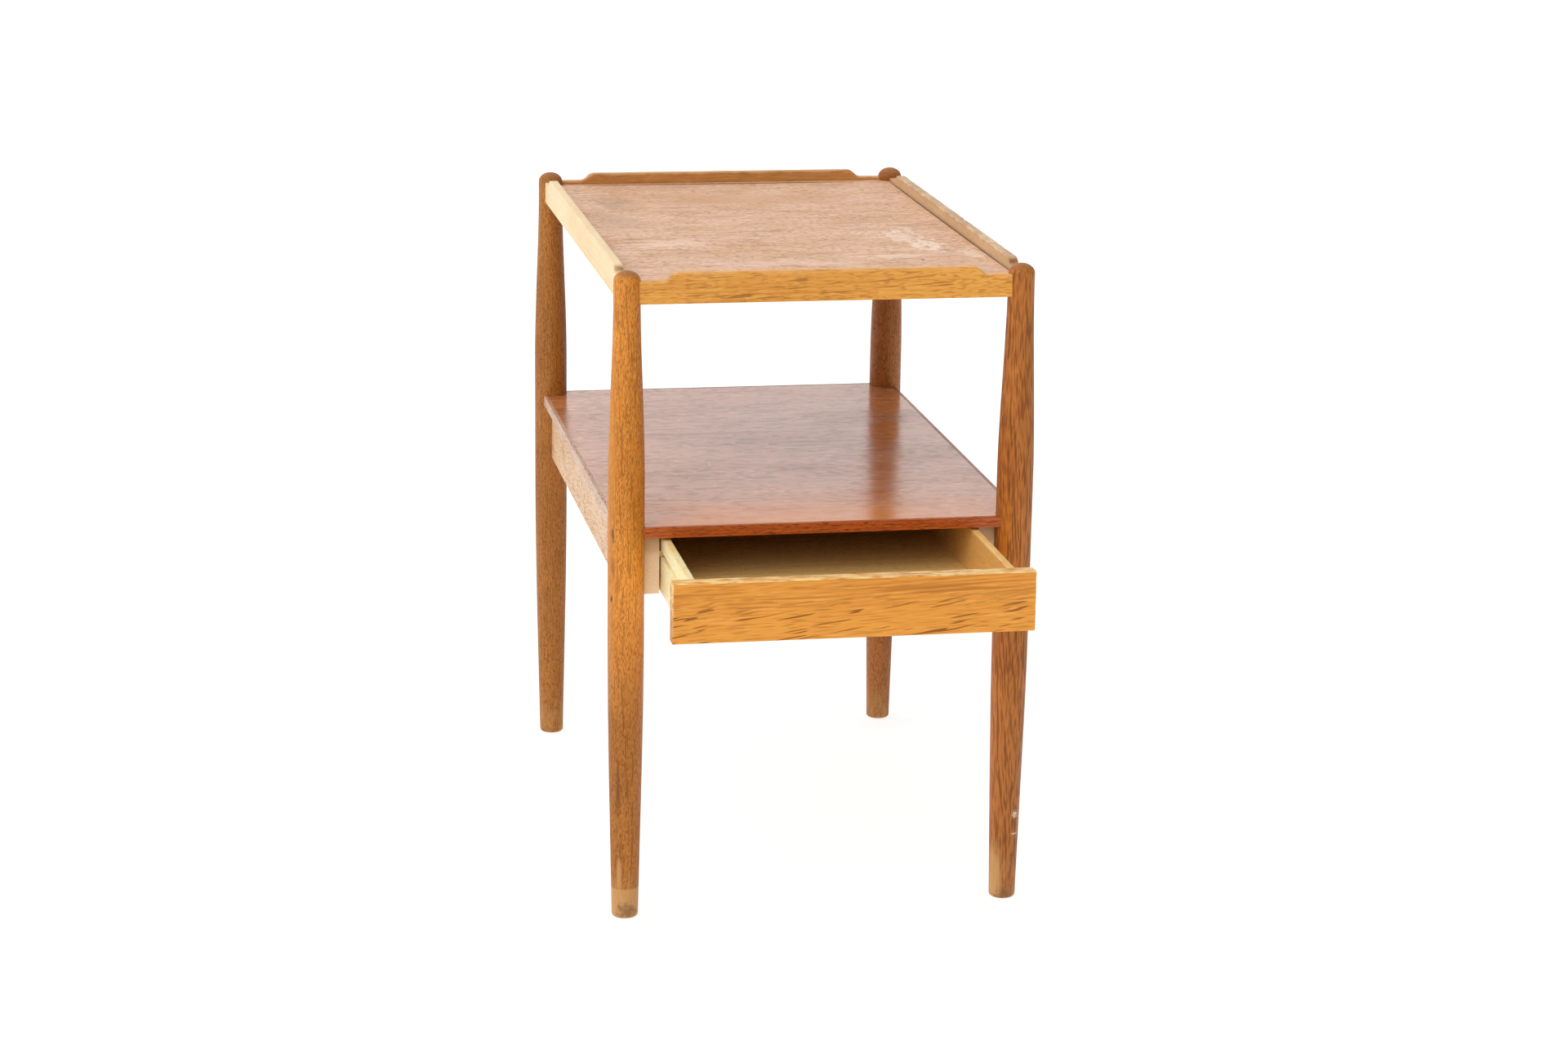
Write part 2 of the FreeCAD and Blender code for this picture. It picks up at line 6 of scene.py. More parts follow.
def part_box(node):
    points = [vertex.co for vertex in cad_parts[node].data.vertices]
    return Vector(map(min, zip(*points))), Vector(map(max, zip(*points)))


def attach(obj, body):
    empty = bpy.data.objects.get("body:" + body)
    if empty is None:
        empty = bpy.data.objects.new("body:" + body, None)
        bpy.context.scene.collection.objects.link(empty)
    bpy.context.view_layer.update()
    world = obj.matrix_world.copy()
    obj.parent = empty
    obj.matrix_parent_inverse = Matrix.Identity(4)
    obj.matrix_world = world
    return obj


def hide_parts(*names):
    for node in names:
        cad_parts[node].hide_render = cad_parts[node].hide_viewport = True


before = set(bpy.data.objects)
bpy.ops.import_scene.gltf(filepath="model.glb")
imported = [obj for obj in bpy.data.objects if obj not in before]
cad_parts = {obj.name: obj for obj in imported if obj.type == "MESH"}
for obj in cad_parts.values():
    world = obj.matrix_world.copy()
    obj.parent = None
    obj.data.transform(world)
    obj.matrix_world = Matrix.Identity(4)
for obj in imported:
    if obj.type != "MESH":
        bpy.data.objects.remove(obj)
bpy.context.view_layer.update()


# ---- the four legs -------------------------------------------------------
# Turned in solid oak: a straight belly where the shelf is, drawn in to a round
# foot and to a neck with a flattened dome.  Oiled, with worn pale feet and
# darker end grain on the domes.
foot_radius = 0.0122
foot_rim = 0.003
foot_slope = 0.0185
belly_radius = 0.0165
belly_low = 0.2705
belly_high = 0.4055
neck_radius = 0.012
neck_height = 0.585
dome_start = 0.591
leg_height = 0.6
rubbed_height = 0.05
hand_wander = 0.006
crease_angle = np.radians(40)
rim_points, lower_points, belly_points, upper_points, dome_points = 7, 44, 14, 34, 16
points_round = 72


def rings_to_mesh(name, rings, wear_and_light_share=None):
    """A closed skin over a stack of rings.

    rings is an array of stations by points by xyz.  Point i of ring j is joined
    to point i of ring j + 1 and each ring closes on itself, so the skin is a
    function of two parameters, the station and the way round.  The first and
    last ring are closed with one flat face each.  wear, if given, is an array
    of stations by points, from 0 to 1, kept as a mask on the mesh: how worn
    the wood is, and on some pieces where a painted highlight or painted shade
    is laid.
    """
    stations, around = rings.shape[:2]
    index = np.arange(stations * around).reshape(stations, around)
    here, there = index[:-1], index[1:]
    quads = np.stack((here, np.roll(here, -1, 1), np.roll(there, -1, 1), there), -1)
    faces = quads.reshape(-1, 4).tolist()
    faces.append(index[0][::-1].tolist())
    faces.append(index[-1].tolist())
    mesh = bpy.data.meshes.new(name)
    mesh.from_pydata(rings.reshape(-1, 3).tolist(), [], faces)
    mesh.polygons.foreach_set("use_smooth", np.ones(len(faces), bool))
    if wear_and_light_share is not None:
        layer = mesh.attributes.new("worn_and_lit", "FLOAT", "POINT")
        layer.data.foreach_set("value", wear_and_light_share.reshape(-1).astype(np.float32))
    mesh.set_sharp_from_angle(angle=crease_angle)
    mesh.update()
    mesh.validate()
    piece = bpy.data.objects.new(name, mesh)
    bpy.context.scene.collection.objects.link(piece)
    return piece


def cubic(start, pull_start, pull_end, end, steps):
    """A cubic from four control points: the Bernstein sum of each with its share of t."""
    t = np.linspace(0, 1, steps)[:, None]
    points = np.array((start, pull_start, pull_end, end))
    shares = ((1 - t) ** 3, 3 * t * (1 - t) ** 2, 3 * t**2 * (1 - t), t**3)
    return sum(share * point for share, point in zip(shares, points))


def turning_outline():
    """Radius and height up the leg: rim arc, lower cubic, belly, upper cubic, dome."""
    turn = np.linspace(0, np.pi / 2, rim_points)
    rim = np.stack(
        (foot_radius - foot_rim + foot_rim * np.sin(turn), foot_rim - foot_rim * np.cos(turn)), 1
    )
    low = (belly_low - foot_rim) / 3
    high = (neck_height - belly_high) / 3
    lower = cubic(
        (foot_radius, foot_rim),
        (foot_radius + foot_slope * low, foot_rim + low),
        (belly_radius, belly_low - low),
        (belly_radius, belly_low),
        lower_points,
    )
    upper = cubic(
        (belly_radius, belly_high),
        (belly_radius, belly_high + high),
        (neck_radius, neck_height - high),
        (neck_radius, neck_height),
        upper_points,
    )
    belly_heights = np.linspace(belly_low, belly_high, belly_points)[1:-1]
    belly = np.stack((np.full(belly_heights.size, belly_radius), belly_heights), 1)
    turn = np.linspace(0, np.pi / 2, dome_points)[:-1]
    dome = np.stack(
        (neck_radius * np.cos(turn), dome_start + (leg_height - dome_start) * np.sin(turn)), 1
    )
    return np.concatenate((rim, lower[1:], belly, upper, dome))


def turned_leg(name, middle, hand, seed):
    """A turning: outline (radius, height) swung round the axis, radius x (cos, sin).

    hand is how far, as a share, the radius wanders inward from the true
    turning, as three slow waves along and round the leg.
    """
    outline = turning_outline()
    draw = np.random.default_rng(seed)
    around = np.linspace(0, 2 * np.pi, points_round, endpoint=False)[None, :]
    radius, height = outline[:, :1], outline[:, 1:]
    wander = np.zeros((len(outline), around.size))
    for lobes in (1, 2, 3):
        phase, pitch = draw.uniform(0, 6.28), draw.uniform(9, 40)
        wander += (1 + np.sin(lobes * around + pitch * height + phase)) / 6
    radius = radius * (1 - hand * wander)
    x = middle.x + radius * np.cos(around)
    y = middle.y + radius * np.sin(around)
    z = np.broadcast_to(height, x.shape)
    wear_and_light_share = np.clip((rubbed_height - z) / rubbed_height, 0, 1)
    return rings_to_mesh(name, np.stack((x, y, z), -1), wear_and_light_share)


def node(tree, kind, sockets=None, **settings):
    """One shader node; a socket given as a value is linked, anything else is set."""
    made = tree.nodes.new("ShaderNode" + kind)
    for key, value in settings.items():
        setattr(made, key, value)
    for key, value in (sockets or {}).items():
        if isinstance(value, bpy.types.NodeSocket):
            tree.links.new(value, made.inputs[key])
        else:
            made.inputs[key].default_value = value
    return made


def maths(tree, operation, first, second=0.0, third=0.0, clamp=False):
    """The output of one arithmetic node."""
    sockets = {0: first, 1: second, 2: third}
    return node(tree, "Math", sockets, operation=operation, use_clamp=clamp).outputs[0]


def step_up(tree, value, low, high, top=1.0):
    """0 below low and top above high: the cubic 3 t^2 - 2 t^3 between them."""
    sockets = {"Value": value, "From Min": low, "From Max": high, "To Max": top}
    return node(tree, "MapRange", sockets, interpolation_type="SMOOTHSTEP").outputs[0]


def tinted(tree, share, under, over, how="MIX"):
    """over laid on under by share."""
    made = node(tree, "Mix", {0: share, 6: under, 7: over}, data_type="RGBA", blend_type=how)
    return made.outputs[2]


def stretched(tree, place, scale, detail=2.0, rough=0.5, seed=0.0):
    """Noise whose grains are 1 / scale long in each direction."""
    spread = node(tree, "VectorMath", {0: place, 1: scale}, operation="MULTIPLY").outputs[0]
    moved = node(tree, "VectorMath", {0: spread, 1: (seed, seed * 1.7, seed * 2.3)}, operation="ADD")
    sockets = {"Vector": moved.outputs[0], "Scale": 1.0, "Detail": detail, "Roughness": rough}
    return node(tree, "TexNoise", sockets).outputs[0]


def rgb(red, green, blue):
    """A colour as seen on a paint chart, 0 to 255, made linear."""
    shown = np.array((red, green, blue)) / 255
    linear = np.where(shown <= 0.04045, shown / 12.92, ((shown + 0.055) / 1.055) ** 2.4)
    return (*linear.tolist(), 1.0)


grain_turns = {
    "x": (0, 0, 0),
    "y": (0, 0, -np.pi / 2),
    "z": (0, np.pi / 2, 0),
}
grain_axes = {"x": (1, 0, 0), "y": (0, 1, 0), "z": (0, 0, 1)}

# How many grains of each noise there are in a metre, along the wood and both ways across it.
sway_grain = (7, 30, 30)
drift_grain = (5, 110, 110)
year_grain = (2, 36, 36)
fibre_grain = (60, 1200, 1200)
rub_grain = (60, 160, 160)
speck_grain = (1500, 1500, 1500)
full_turn = 6.2832
pore_depth = 0.00012

# How many radians the drift and the years push the rings, and where the years begin to show.
drift_push = 5.0
year_push = 16.0
years_show = (0.3, 0.6)
cloud_limits = (0.3, 0.7)
patch_limits = (0.42, 0.7)
speck_limits = (0.45, 0.65)
rub_limits = (0.3, 0.65)
jitter_grain = (2.2, 2.2, 2.2)
end_share = 0.9
pore_dullness = 0.12


def wood(name, along, pith, seed, light, dark, pore, end, ring_gap=0.0028, ring_share=0.35,
         ring_zone=None, fibre_share=0.3, lean=(0.0, 0.0), dashes=(), cloud=0.35, cloud_size=0.06,
         cloud_colour=None, gloss=(0.42, 0.6), shine=0.5, relief=0.5, end_limits=(0.45, 0.95),
         flecks=(), marks=(), wear_and_edge_light=None, painted_low_shade=None, matt=None):
    """A board's finish: growth rings about a far-off pith, fibres, pores, clouds and end grain.

    Everything is worked out in a frame whose first axis runs along the grain.
    rings = sine of the distance from the pith line over the ring gap.  dashes
    are open pores: noise drawn out to a length and width, leaning across the
    board, cut off at two limits, with a share and a zone of height.  flecks
    are the same in a paler or darker tone: length, width, limits, share, tone.
    marks are soft-edged spots: middle, reach, colour, share, raggedness and
    hard core.  rub is the colour and share laid where the mesh's mask is set:
    rubbing on the legs' feet, a painted highlight along the top edges of the
    drawer front and right side, and on the rails' rounded tops rubbing with
    painted highlight and painted shade.  fade is painted shade: the two heights
    between which the wood is darkened towards the bottom by a multiplied tint.
    matt is a spot that shines less: middle, reach and share.
    """
    material = bpy.data.materials.new(name)
    material.use_nodes = True
    tree = material.node_tree
    tree.nodes.clear()
    spot = node(tree, "TexCoord")
    place = spot.outputs["Object"]
    tall = node(tree, "SeparateXYZ", {0: place}).outputs["Z"]
    turned = node(tree, "Mapping", {"Vector": place, "Rotation": grain_turns[along]}).outputs[0]
    side = node(tree, "SeparateXYZ", {0: turned})
    slow = maths(tree, "SUBTRACT", stretched(tree, turned, sway_grain, 1.0, 0.5, seed), 0.5)

    def leaning(tilt_y, tilt_z, sway):
        """The grain's frame, sheared by a tilt and swayed by slow noise."""
        bent_y = maths(tree, "MULTIPLY_ADD", slow, sway, side.outputs["Y"])
        bent_y = maths(tree, "MULTIPLY_ADD", side.outputs["X"], -tilt_y, bent_y)
        bent_z = maths(tree, "MULTIPLY_ADD", slow, sway * 0.6, side.outputs["Z"])
        bent_z = maths(tree, "MULTIPLY_ADD", side.outputs["X"], -tilt_z, bent_z)
        return node(tree, "CombineXYZ", {0: side.outputs["X"], 1: bent_y, 2: bent_z}).outputs[0]

    def length_of(vector):
        """The root of the sum of squares of a vector."""
        return node(tree, "VectorMath", {0: vector}, operation="LENGTH").outputs["Value"]

    def from_middle(middle, extent):
        """The place counted from a spot's middle, in units of its reach."""
        sockets = {"Vector": place, "Location": middle, "Scale": extent}
        return node(tree, "Mapping", sockets, vector_type="TEXTURE").outputs[0]

    bent = leaning(*lean, 0.010)
    off = node(tree, "VectorMath", {0: bent, 1: (0, *pith)}, operation="SUBTRACT").outputs[0]
    cross = node(tree, "VectorMath", {0: off, 1: (0, 1, 1)}, operation="MULTIPLY").outputs[0]
    drift = stretched(tree, bent, drift_grain, 2.0, 0.6, seed + 3)
    years = stretched(tree, bent, year_grain, 1.0, 0.5, seed + 4)
    turns = maths(tree, "MULTIPLY", length_of(cross), full_turn / ring_gap)
    turns = maths(tree, "MULTIPLY_ADD", drift, drift_push, turns)
    turns = maths(tree, "MULTIPLY_ADD", years, year_push, turns)
    rings = maths(tree, "MULTIPLY_ADD", maths(tree, "SINE", turns), 0.5, 0.5)
    rings = maths(tree, "MULTIPLY", rings, step_up(tree, years, *years_show))
    if ring_zone:
        rings = maths(tree, "MULTIPLY", rings, step_up(tree, tall, *ring_zone))
    fibre = stretched(tree, bent, fibre_grain, 4.0, 0.7, seed + 5)
    pores = None
    for count, (length, width, tilt, low, high, share, zone) in enumerate(dashes):
        grain = leaning(0.3 * tilt, tilt, 0.004) if tilt else bent
        shape = (1 / length, 1 / width, 1 / width)
        layer = stretched(tree, grain, shape, 0.4, 0.5, seed + 7 + count)
        layer = step_up(tree, layer, low, high, share)
        if zone:
            layer = maths(tree, "MULTIPLY", layer, step_up(tree, tall, *zone))
        pores = layer if pores is None else maths(tree, "MAXIMUM", pores, layer)
    puffs = np.array((0.35, 1, 1)) / cloud_size
    clouds = stretched(tree, turned, puffs.tolist(), 4.0, 0.65, seed + 11)
    clouds = step_up(tree, clouds, *cloud_limits)
    depth = maths(tree, "MULTIPLY_ADD", rings, ring_share, -0.25 * ring_share)
    depth = maths(tree, "MULTIPLY_ADD", fibre, fibre_share * 2, depth)
    depth = maths(tree, "MULTIPLY_ADD", clouds, cloud, depth)
    depth = maths(tree, "SUBTRACT", depth, fibre_share * 0.7, clamp=True)
    colour = tinted(tree, depth, light, dark)
    if cloud_colour:
        puffs = np.array((0.7, 0.9, 0.9)) / cloud_size
        patch = stretched(tree, turned, puffs.tolist(), 4.0, 0.6, seed + 13)
        colour = tinted(tree, step_up(tree, patch, *patch_limits, 0.7), colour, cloud_colour)
    for count, (length, width, low, high, share, tone) in enumerate(flecks):
        spots = stretched(tree, bent, (1 / length, 1 / width, 1 / width), 2.0, 0.6, seed + 15 + count)
        colour = tinted(tree, step_up(tree, spots, low, high, share), colour, tone)
    colour = tinted(tree, pores, colour, pore)
    # Painted shade: the colour is multiplied by a grey tint towards the bottom, between the two heights.
    if painted_low_shade:
        colour = tinted(tree, step_up(tree, tall, *painted_low_shade[:2]), colour, painted_low_shade[2], "MULTIPLY")
    sockets = {0: spot.outputs["Normal"], 1: grain_axes[along]}
    facing = node(tree, "VectorMath", sockets, operation="DOT_PRODUCT").outputs["Value"]
    endwise = step_up(tree, maths(tree, "ABSOLUTE", facing), *end_limits, end_share)
    speck = stretched(tree, turned, speck_grain, 1.0, 0.5, seed + 17)
    end_tone = tinted(tree, step_up(tree, speck, *speck_limits, 0.5), end, pore)
    colour = tinted(tree, endwise, colour, end_tone)
    # Colour laid on the mesh's mask: rubbing on the legs' feet, a painted highlight on the drawer's lit top
    # edges, and on the rails' tops rubbing mixed with painted highlight and shade.
    if wear_and_edge_light:
        worn_and_lit = node(tree, "Attribute", attribute_name="worn_and_lit").outputs["Fac"]
        patchy = stretched(tree, turned, rub_grain, 3.0, 0.6, seed + 19)
        worn_and_lit = maths(tree, "MULTIPLY", worn_and_lit, step_up(tree, patchy, *rub_limits, wear_and_edge_light[1]))
        colour = tinted(tree, worn_and_lit, colour, wear_and_edge_light[0])
    for count, (middle, extent, tone, strength, ragged, core) in enumerate(marks):
        local = from_middle(middle, extent)
        jitter = stretched(tree, local, jitter_grain, 5.0, 0.68, seed + 21 + count)
        jitter = maths(tree, "SUBTRACT", jitter, 0.5)
        away = maths(tree, "MULTIPLY_ADD", jitter, -ragged, length_of(local))
        share = maths(tree, "SUBTRACT", 1.0, step_up(tree, away, core, 1.0))
        colour = tinted(tree, maths(tree, "MULTIPLY", share, strength), colour, tone)
    dull = maths(tree, "MULTIPLY_ADD", clouds, gloss[1] - gloss[0], gloss[0])
    dull = maths(tree, "MULTIPLY_ADD", pores, pore_dullness, dull)
    gleam = maths(tree, "MULTIPLY_ADD", pores, -0.5 * shine, shine)
    rough_fibre = maths(tree, "SUBTRACT", fibre, 0.5)
    gleam = maths(tree, "MULTIPLY_ADD", rough_fibre, -0.8 * shine, gleam, clamp=True)
    if matt:
        away = length_of(from_middle(*matt[:2]))
        kept = maths(tree, "ADD", step_up(tree, away, 0.3, 1.0, matt[2]), 1.0 - matt[2])
        gleam = maths(tree, "MULTIPLY", gleam, kept)
    height = maths(tree, "MULTIPLY_ADD", fibre, 0.35, maths(tree, "MULTIPLY", rings, 0.2))
    height = maths(tree, "SUBTRACT", height, pores)
    raised = node(tree, "Bump", {"Height": height, "Strength": relief, "Distance": pore_depth})
    shader = node(tree, "BsdfPrincipled", {
        "Base Color": colour, "Roughness": dull, "Normal": raised.outputs[0],
        "Specular IOR Level": gleam,
    })
    out = node(tree, "OutputMaterial")
    tree.links.new(shader.outputs[0], out.inputs["Surface"])
    return material


def finished(piece, material):
    """Puts one finish on a whole piece."""
    piece.data.materials.clear()
    piece.data.materials.append(material)


leg_pore = rgb(92, 46, 14)
leg_end = rgb(172, 108, 52)
leg_rub = rgb(196, 150, 92)
pale_foot = rgb(194, 143, 86)
fine_pores = ((0.003, 0.0007, 0, 0.52, 0.64, 0.55, None), (0.012, 0.0008, 0, 0.60, 0.68, 0.5, None))
leg_looks = {
    "leg_front_left": dict(
        pith=(0.10, -0.23), seed=2.0, light=rgb(226, 143, 43), dark=rgb(176, 100, 22),
        # The leg is darkened towards the floor by a multiplied grey tint below 0.34 m: painted shade.
        painted_low_shade=(0.34, 0.17, rgb(204, 200, 192)), ring_share=0.12,
        dashes=((0.0036, 0.0009, 0, 0.50, 0.66, 0.45, None), (0.034, 0.0014, 0, 0.60, 0.70, 0.45, None)),
        flecks=((0.0060, 0.0010, 0.54, 0.66, 0.5, rgb(236, 168, 74)),), marks=(
            # A pale strip up the leg's left side, where the lamp falls, is a painted highlight.
            ((-0.1935, -0.2190, 0.45), (0.006, 0.016, 0.30), rgb(206, 136, 54), 0.45, 0.5, 0.4),
            ((-0.1915, -0.2175, 0.364), (0.0020, 0.006, 0.011), rgb(104, 62, 28), 0.8, 1.6, 0.3),
            ((-0.1925, -0.2185, 0.304), (0.0014, 0.005, 0.007), rgb(50, 28, 14), 0.95, 1.2, 0.5),
            ((-0.1915, -0.2185, 0.335), (0.0022, 0.006, 0.014), rgb(128, 80, 36), 0.6, 1.8, 0.3),
            ((-0.1865, -0.2192, 0.125), (0.0024, 0.006, 0.034), rgb(112, 64, 26), 0.7, 1.4, 0.3),
            ((-0.1845, -0.2160, 0.044), (0.0030, 0.006, 0.022), pale_foot, 0.7, 0.5, 0.6),
            ((-0.1775, -0.2072, 0.0), (0.060, 0.060, 0.0312), pale_foot, 0.85, 0.10, 0.90),
            ((-0.1775, -0.2190, 0.008), (0.013, 0.010, 0.012), rgb(122, 84, 48), 0.75, 2.4, 0.2),
        )),
    "leg_front_right": dict(
        pith=(-0.204, -0.181), seed=9.0, light=rgb(196, 119, 40), dark=rgb(148, 79, 21),
        # The lower leg is darkened towards the floor by a multiplied grey tint: painted shade.
        painted_low_shade=(0.26, 0.10, rgb(232, 228, 222)), lean=(0.10, -0.10), ring_gap=0.0024, ring_share=0.3,
        dashes=((0.016, 0.0014, 0.05, 0.50, 0.66, 0.5, None), (0.040, 0.0019, 0.06, 0.59, 0.68, 0.62, None)),
        marks=(
            ((0.1850, -0.2175, 0.083), (0.0040, 0.006, 0.0040), rgb(236, 216, 190), 0.8, 3.6, 0.2),
            ((0.1850, -0.2175, 0.064), (0.0055, 0.006, 0.0011), rgb(236, 216, 190), 0.7, 2.8, 0.3),
            ((0.1668, -0.2160, 0.020), (0.0085, 0.012, 0.046), rgb(192, 148, 92), 0.75, 1.0, 0.4),
            ((0.1775, -0.2190, 0.004), (0.013, 0.012, 0.012), rgb(112, 72, 38), 0.6, 2.4, 0.2),
        )),
    "leg_back_left": dict(
        pith=(0.33, -0.22), seed=17.0, light=rgb(182, 116, 38), dark=rgb(138, 80, 23),
        ring_share=0.2, dashes=fine_pores),
    "leg_back_right": dict(
        pith=(0.31, 0.20), seed=26.0, light=rgb(177, 107, 36), dark=rgb(134, 72, 21),
        ring_share=0.25, dashes=fine_pores),
}
for name, look in leg_looks.items():
    low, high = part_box(name)
    leg = turned_leg(name + "_turned", (low + high) / 2, hand_wander, int(look["seed"]))
    finished(leg, wood(name + "_oak", "z", pore=leg_pore, end=leg_end, gloss=(0.42, 0.58), shine=0.4,
                       cloud=0.45, cloud_size=0.05, wear_and_edge_light=(leg_rub, 0.6), **look))
    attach(leg, "table")
    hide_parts(name)


# ---- the tray's four rails ----------------------------------------------
# Oak strips tenoned between the leg tops, lower beside each leg and swept up
# by an ogee to the middle.  Their upper edges are rounded over by hand, and a
# ledge inside, out of sight, carries the panel.  They are painted as lit and
# shaded copies of one oak, and their rounded tops carry a tone that is partly
# rubbing and partly painted highlight and shade.
rail_face = -0.0065
rail_lip = 0.009
rail_ledge = 0.0052
ledge_rise = 0.009
rail_low_rise = 0.0205
rail_swell = 0.0072
swell_from_leg = 0.030
swell_run = 0.016
rail_end_gap = 0.008
edge_round = 0.0015
edge_break = 0.0004
ogee_points, end_points, middle_points = 26, 8, 90
leg_axis_x = 0.178
leg_axis_y = 0.276
table_middle_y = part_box("shelf_core")[0].lerp(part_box("shelf_core")[1], 0.5).y


def ogee(share):
    """Two equal tangent arcs from 0 to 1, level at both ends, for the rail's proportions."""
    run, rise = swell_run / 2, rail_swell / 2
    radius = (run**2 + rise**2) / (2 * rise)
    x = np.clip(share, 0, 1) * swell_run
    first = radius - np.sqrt(radius**2 - np.minimum(x, run) ** 2)
    second = rail_swell - (radius - np.sqrt(radius**2 - np.minimum(swell_run - x, run) ** 2))
    return np.where(x < run, first, second) / rail_swell


def rail_stations(half):
    """Places along a rail, close together over the two ogees."""
    end, low = half - rail_end_gap, half - swell_from_leg
    high = low - swell_run
    side = np.concatenate((
        np.linspace(high, low, ogee_points), np.linspace(low, end, end_points)[1:]))
    middle = np.linspace(-high, high, middle_points)[1:-1]
    return np.concatenate((-side[::-1], middle, side))


def tray_rail(name, half, distance, quarter_turns, base, dents, seed):
    """A rail: an L-shaped section carried along its length, its top lifted by the ogee.

    The section goes out along the underside, up the outer face, over two
    rounded edges, down the inner face and round the ledge.  Dents push the
    outer top edge in and down by a bell curve along the rail.
    """
    draw = np.random.default_rng(seed)
    along = rail_stations(half)[:, None]
    lift = ogee((half - swell_from_leg - np.abs(along)) / swell_run)
    top = rail_low_rise + rail_swell * lift
    turn = np.linspace(0, np.pi / 2, 8)
    wobble = 1 + 0.25 * np.sin(along * 61 + draw.uniform(0, 6)) * np.sin(along * 143 + 1)
    press = sum(deep * np.exp(-(((along - at) / wide) ** 2)) for at, deep, wide in dents) + 0 * along
    out = rail_face
    inner = out + rail_lip
    ones = np.ones_like(along)
    r = edge_round * wobble
    outer_round_d = out + r * (1 - np.cos(turn)) + press * 0.8
    outer_round_z = top - r * (1 - np.sin(turn)) - press
    inner_round_d = inner - r * (1 - np.sin(turn))
    inner_round_z = top - r * (1 - np.cos(turn))
    face_top = top - 1.6 * r
    depth = [
        (inner + rail_ledge) * ones, (out + edge_break) * ones, out * ones, out * ones, out * ones,
        outer_round_d, inner_round_d, inner * ones, inner * ones, (inner + rail_ledge) * ones,
    ]
    rise = [
        0 * ones, 0 * ones, edge_break * ones, ledge_rise * ones, face_top,
        outer_round_z, inner_round_z, face_top, ledge_rise * ones, ledge_rise * ones,
    ]
    depth = np.concatenate(depth, 1)
    rise = np.concatenate(rise, 1)
    along = np.broadcast_to(along, depth.shape)
    # The rounded top is masked for a tone that is partly rubbing and partly painted light.
    wear_and_light_share = np.zeros(depth.shape)
    first_round = 5
    past_round = first_round + 2 * turn.size
    wear_and_light_share[:, first_round:past_round] = 0.9
    wear_and_light_share[:, (first_round - 1, past_round)] = 0.25
    sideways = depth - distance
    for _ in range(quarter_turns):
        along, sideways = -sideways, along
    rings = np.stack((along, sideways + table_middle_y, rise + base), -1)
    return rings_to_mesh(name, rings[:, ::-1], wear_and_light_share[:, ::-1])


# Lit and shaded copies of one oak: the left and right rails, whose seen faces turn to the lamp, are painted
# pale as a highlight, and the back rail, whose seen face is in shade, is painted darker.  The tone on the
# tops is a painted highlight on the front and back rails and painted shade on the right one, with some
# rubbing.
rail_looks = {
    "tray_rail_front": dict(
        half=leg_axis_x, distance=leg_axis_y, turns=0, along="x", dents=(), seed=31,
        pith=(-0.16, -0.62), light=rgb(235, 167, 68), dark=rgb(197, 122, 39),
        wear_and_edge_light=(rgb(236, 178, 106), 0.7), porous=0.7),
    "tray_rail_right": dict(
        half=leg_axis_y, distance=leg_axis_x, turns=1, along="y", dents=((-0.0334, 0.0016, 0.003),),
        seed=37, pith=(-0.22, -0.66), light=rgb(222, 186, 142), dark=rgb(184, 146, 104),
        wear_and_edge_light=(rgb(172, 126, 84), 0.8), porous=0.2,
        marks=(((0.1838, 0.0354, 0.598), (0.003, 0.0035, 0.002), rgb(70, 40, 40), 0.8, 0.8, 0.4),)),
    "tray_rail_back": dict(
        half=leg_axis_x, distance=leg_axis_y, turns=2, along="x", dents=(), seed=43,
        pith=(0.42, -0.66), light=rgb(196, 134, 68), dark=rgb(158, 98, 42),
        wear_and_edge_light=(rgb(214, 162, 108), 0.9), porous=0.3),
    "tray_rail_left": dict(
        half=leg_axis_y, distance=leg_axis_x, turns=3, along="y",
        dents=((0.05, 0.0006, 0.004), (-0.12, 0.0007, 0.006)), seed=49,
        pith=(0.24, -0.66), light=rgb(243, 218, 170), dark=rgb(224, 188, 136),
        wear_and_edge_light=(rgb(236, 200, 150), 0.7), porous=0.12),
}
for name, look in rail_looks.items():
    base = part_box(name)[0].z
    half, distance, turns, dents = (look[key] for key in ("half", "distance", "turns", "dents"))
    rail = tray_rail(name + "_shaped", half, distance, turns, base, dents, look["seed"])
    porous = look["porous"]
    finished(rail, wood(
        name + "_oak", look["along"], pith=look["pith"], seed=float(look["seed"]),
        light=look["light"], dark=look["dark"], pore=rgb(120, 66, 20), end=rgb(118, 62, 28),
        end_limits=(0.3, 0.75), ring_gap=0.0045, ring_share=0.3,
        dashes=(
            (0.008, 0.0012, 0, 0.54, 0.68, 0.5 * porous, None),
            (0.030, 0.0021, 0.09, 0.64, 0.71, 0.8 * porous, None),
        ),
        flecks=((0.030, 0.0014, 0.56, 0.66, 0.35, rgb(242, 190, 104)),),
        gloss=(0.36, 0.52), shine=0.4, cloud=0.35, wear_and_edge_light=look["wear_and_edge_light"], marks=look.get("marks", ()),
    ))
    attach(rail, "table")
    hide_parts(name)


# ---- the tray's panel -----------------------------------------------------
# A thin board faced with teak, let down between the rails.  The oil has gone
# from it: it is dry, faded to a pinkish grey brown, stained and chalky.
tray_top = 0.5875
mark_depth = 0.01
chalk = rgb(246, 222, 204)


def lying(height, spots):
    """Marks on a level face: middle and reach across it, made solid by height and depth."""
    return tuple(((*middle, height), (*extent, mark_depth), *rest) for middle, extent, *rest in spots)


